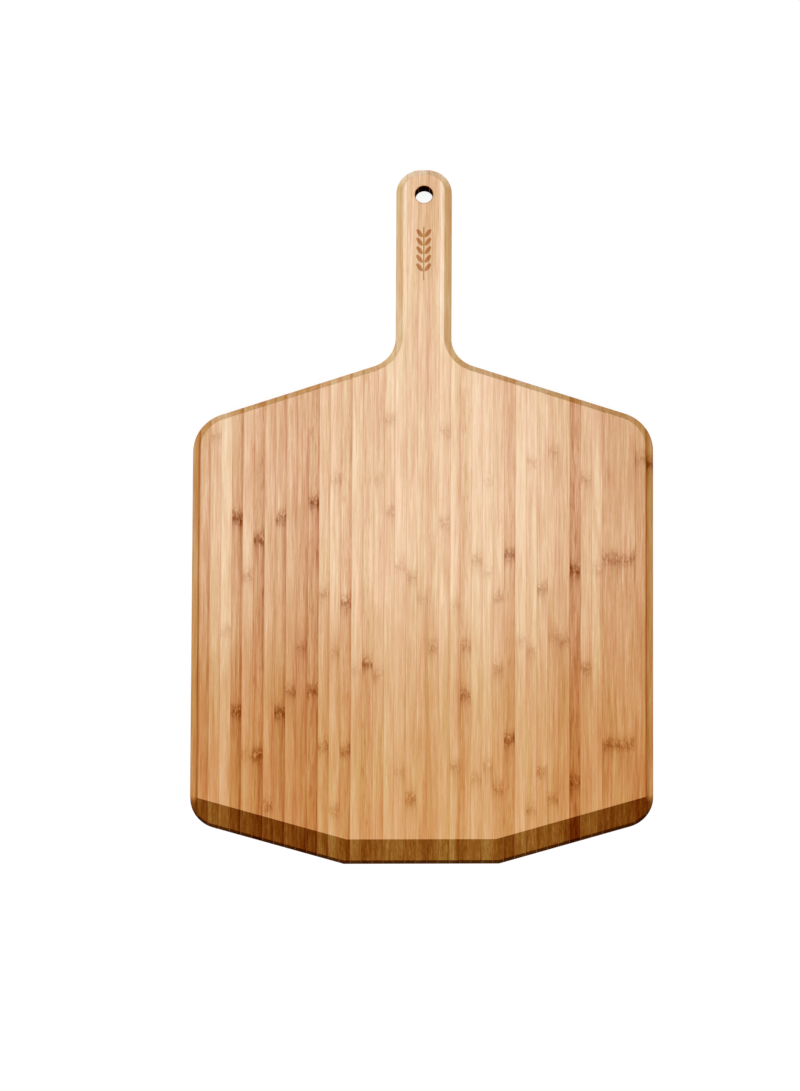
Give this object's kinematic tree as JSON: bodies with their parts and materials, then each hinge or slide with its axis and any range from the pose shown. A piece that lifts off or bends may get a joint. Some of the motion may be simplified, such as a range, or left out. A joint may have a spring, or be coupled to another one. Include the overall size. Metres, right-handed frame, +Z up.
{
  "type": "pizza peel",
  "caption": "Flat bamboo pizza peel: six-sided blade with a bevelled front edge, rounded shoulders and a straight handle with a hanging hole, glued up from straight staves.",
  "frame": {"origin": "under the middle of the peel's whole outline, on the surface it lies on", "axes": "+Z up out of the serving face, +Y along the handle towards the hanging hole, +X to the right seen from above with the handle away"},
  "size_m": [0.4, 0.64, 0.013],
  "materials": {
    "bamboo_light": "pale oiled bamboo, satin, with fine lengthwise fibres and scattered node bands",
    "bamboo_brown": "browner oiled bamboo, satin, with dark flecks and node bands",
    "bamboo_wide": "pinkish-brown oiled bamboo, satin, one broad stave with node bands right across it",
    "bamboo_edge": "oiled bamboo, satin, cut back by the rim bevel"
  },
  "bodies": {
    "root": {"edge_stave_left": "bamboo_edge", "stave_01": "bamboo_light", "stave_02": "bamboo_light", "stave_03": "bamboo_light", "stave_04": "bamboo_light", "stave_05": "bamboo_light", "stave_06": "bamboo_brown", "stave_07": "bamboo_light", "stave_08": "bamboo_light", "stave_09": "bamboo_light", "stave_10": "bamboo_light", "stave_11": "bamboo_brown", "stave_12": "bamboo_light", "stave_13": "bamboo_light", "stave_14": "bamboo_brown", "stave_15": "bamboo_light", "stave_16": "bamboo_brown", "stave_17": "bamboo_light", "stave_18": "bamboo_light", "stave_19": "bamboo_light", "stave_20": "bamboo_light", "stave_21": "bamboo_light", "stave_21_tip": "bamboo_light", "stave_22": "bamboo_light", "stave_23": "bamboo_light", "stave_24": "bamboo_light", "stave_25": "bamboo_brown", "stave_26": "bamboo_light", "stave_27": "bamboo_light", "stave_28": "bamboo_light", "stave_29": "bamboo_brown", "stave_30": "bamboo_light", "stave_31": "bamboo_light", "stave_32": "bamboo_light", "stave_33": "bamboo_light", "stave_34": "bamboo_light", "stave_35": "bamboo_brown", "stave_36": "bamboo_light", "stave_37": "bamboo_light", "wide_stave": "bamboo_wide", "stave_38": "bamboo_light", "edge_stave_right": "bamboo_edge"}
  },
  "joints": []
}
